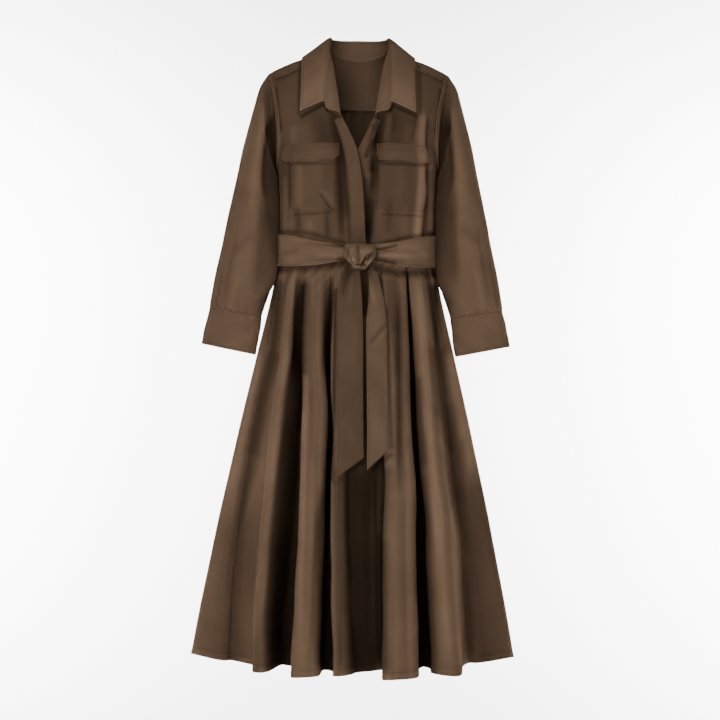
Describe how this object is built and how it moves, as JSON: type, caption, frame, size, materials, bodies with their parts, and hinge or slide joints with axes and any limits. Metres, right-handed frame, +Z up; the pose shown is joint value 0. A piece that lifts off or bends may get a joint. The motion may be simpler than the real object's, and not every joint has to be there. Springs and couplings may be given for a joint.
{
  "type": "shirt dress",
  "caption": "Long-sleeved midi shirt dress with an open pointed collar, flapped chest pockets, a full skirt and a knotted tie belt.",
  "frame": {"origin": "on the centre line between the shoulders, at the height of the shoulder seams' neck end, where the wearer holds the dress up", "axes": "+X to the viewer's right, the front faces -Y, +Z up"},
  "size_m": [0.6807, 0.4524, 1.3078],
  "materials": {
    "cloth": "dark khaki-brown fine twill with a soft satin sheen",
    "belt_cloth": "the same cloth, doubled, pressed and softly creased"
  },
  "bodies": {
    "root": {"yoke": "cloth", "front_right": "cloth", "front_left": "cloth", "back": "cloth", "collar_stand": "cloth", "collar_fall": "cloth", "placket_right": "cloth", "placket_left": "cloth", "pocket_right": "cloth", "flap_right": "cloth", "sleeve_right": "cloth", "cuff_right": "cloth", "pocket_left": "cloth", "flap_left": "cloth", "sleeve_left": "cloth", "cuff_left": "cloth", "skirt_front": "cloth", "skirt_back": "cloth", "belt_band": "belt_cloth", "belt_knot": "belt_cloth", "belt_tail_right": "belt_cloth", "belt_tail_left": "belt_cloth"}
  },
  "joints": []
}
